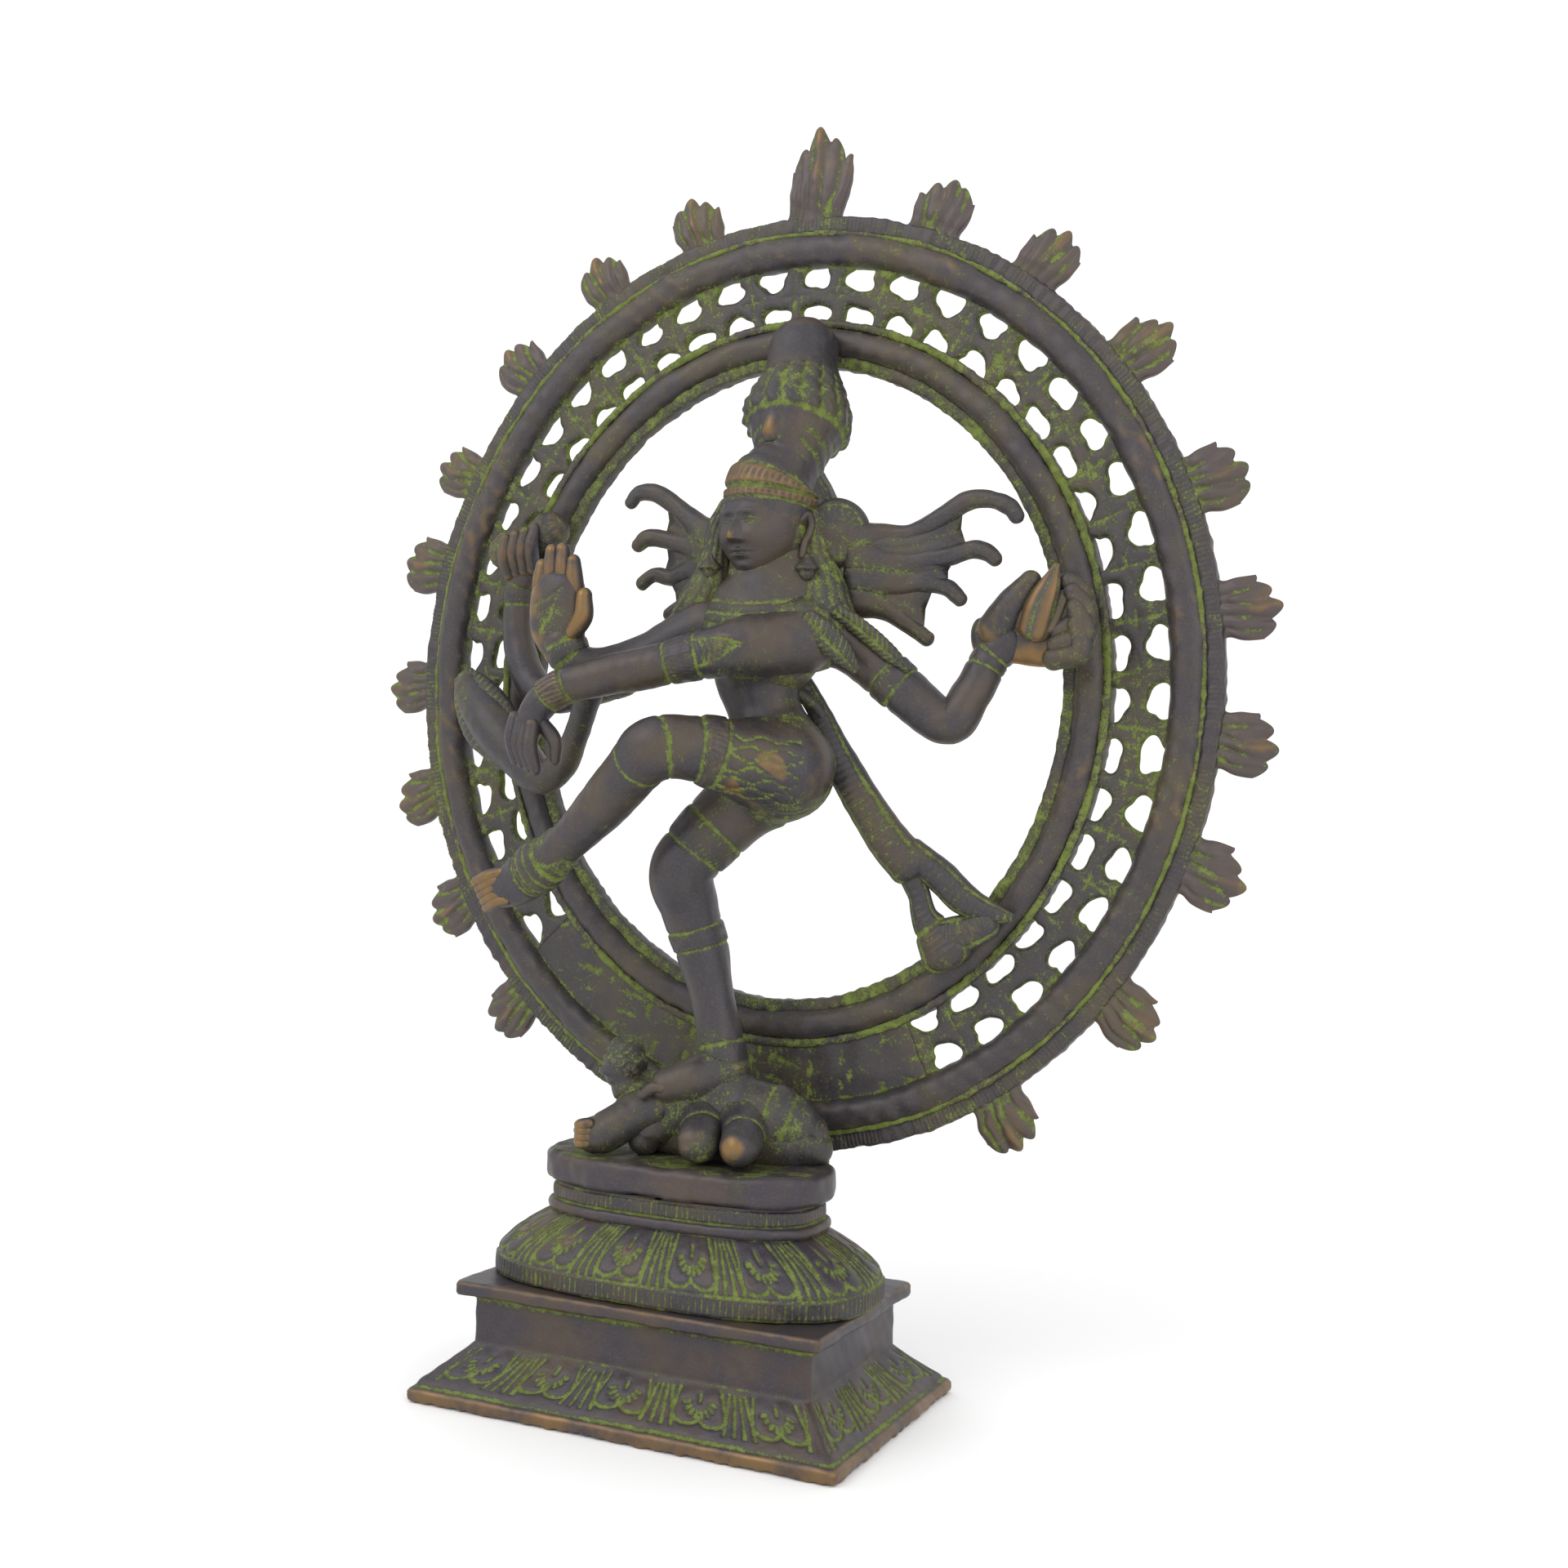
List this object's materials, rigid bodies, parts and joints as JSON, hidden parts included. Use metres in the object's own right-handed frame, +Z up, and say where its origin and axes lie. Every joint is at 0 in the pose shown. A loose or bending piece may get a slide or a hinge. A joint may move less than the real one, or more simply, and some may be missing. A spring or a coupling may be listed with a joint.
{
  "type": "cast brass dancing figure statue",
  "caption": "Antique-finish cast brass dancing figure with raised leg and several arms, inside an upright pierced ring edged with flames, on a stepped lotus base.",
  "frame": {"origin": "centre of the plinth's underside, on the surface the statue stands on", "axes": "+X to the viewer's right along the plinth's length, +Y to the back, through the flame ring's plane, +Z up, the statue's longest extent"},
  "size_m": [0.2434, 0.071, 0.3108],
  "materials": {
    "base_brass": "dark antique patina with green verdigris in the engraving and rubbed edges",
    "figure_brass": "dark antique patina with green verdigris in the recesses and rubbed high spots",
    "halo_brass": "dark antique patina with green verdigris in the grooves",
    "flame_brass": "rubbed antique brass with dark grooves",
    "fixings_brass": "dull unpolished"
  },
  "bodies": {
    "root": {"plinth": "base_brass", "lotus_pedestal": "base_brass", "foot_plate": "base_brass", "tie_bolt": "fixings_brass", "tie_washer": "fixings_brass", "tie_nut": "fixings_brass", "dwarf": "figure_brass", "torso": "figure_brass", "head": "figure_brass", "crown": "figure_brass", "crown_rivet": "fixings_brass", "head_disc": "figure_brass", "earrings": "figure_brass", "hair_fan_left": "figure_brass", "hair_fan_right": "figure_brass", "arm_drum": "figure_brass", "drum": "figure_brass", "arm_blessing": "figure_brass", "arm_crossing": "figure_brass", "arm_flame": "figure_brass", "palm_flame": "flame_brass", "cobra": "figure_brass", "standing_leg": "figure_brass", "raised_leg": "figure_brass", "waist_sash": "figure_brass", "shoulder_tassels": "figure_brass", "halo_band": "halo_brass", "halo_flames": "flame_brass", "halo_top_flame": "flame_brass", "halo_bracket": "halo_brass"}
  },
  "joints": []
}
